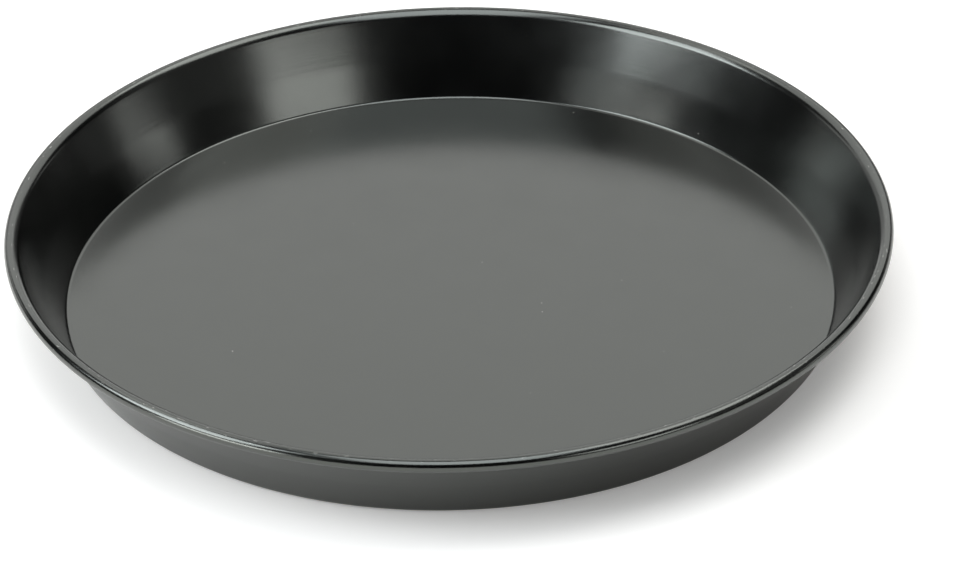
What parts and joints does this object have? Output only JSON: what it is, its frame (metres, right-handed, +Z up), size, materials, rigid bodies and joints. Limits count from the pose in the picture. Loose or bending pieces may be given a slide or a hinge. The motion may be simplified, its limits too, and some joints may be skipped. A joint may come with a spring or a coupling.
{
  "type": "pizza pan",
  "caption": "Round pizza pan of black-coated sheet steel with a flat floor, a low outward-leaning wall and a rim rolled over a steel wire.",
  "frame": {"origin": "middle of the pan's underside, on the surface it stands on", "axes": "+Z up along the pan's axis; X and Y lie in the table's plane, and the pan is round about Z"},
  "size_m": [0.32, 0.32, 0.033],
  "materials": {
    "coated_steel": "satin",
    "wire_steel": "satin"
  },
  "bodies": {
    "root": {"pan_body": "coated_steel", "rim_wire": "wire_steel"}
  },
  "joints": []
}
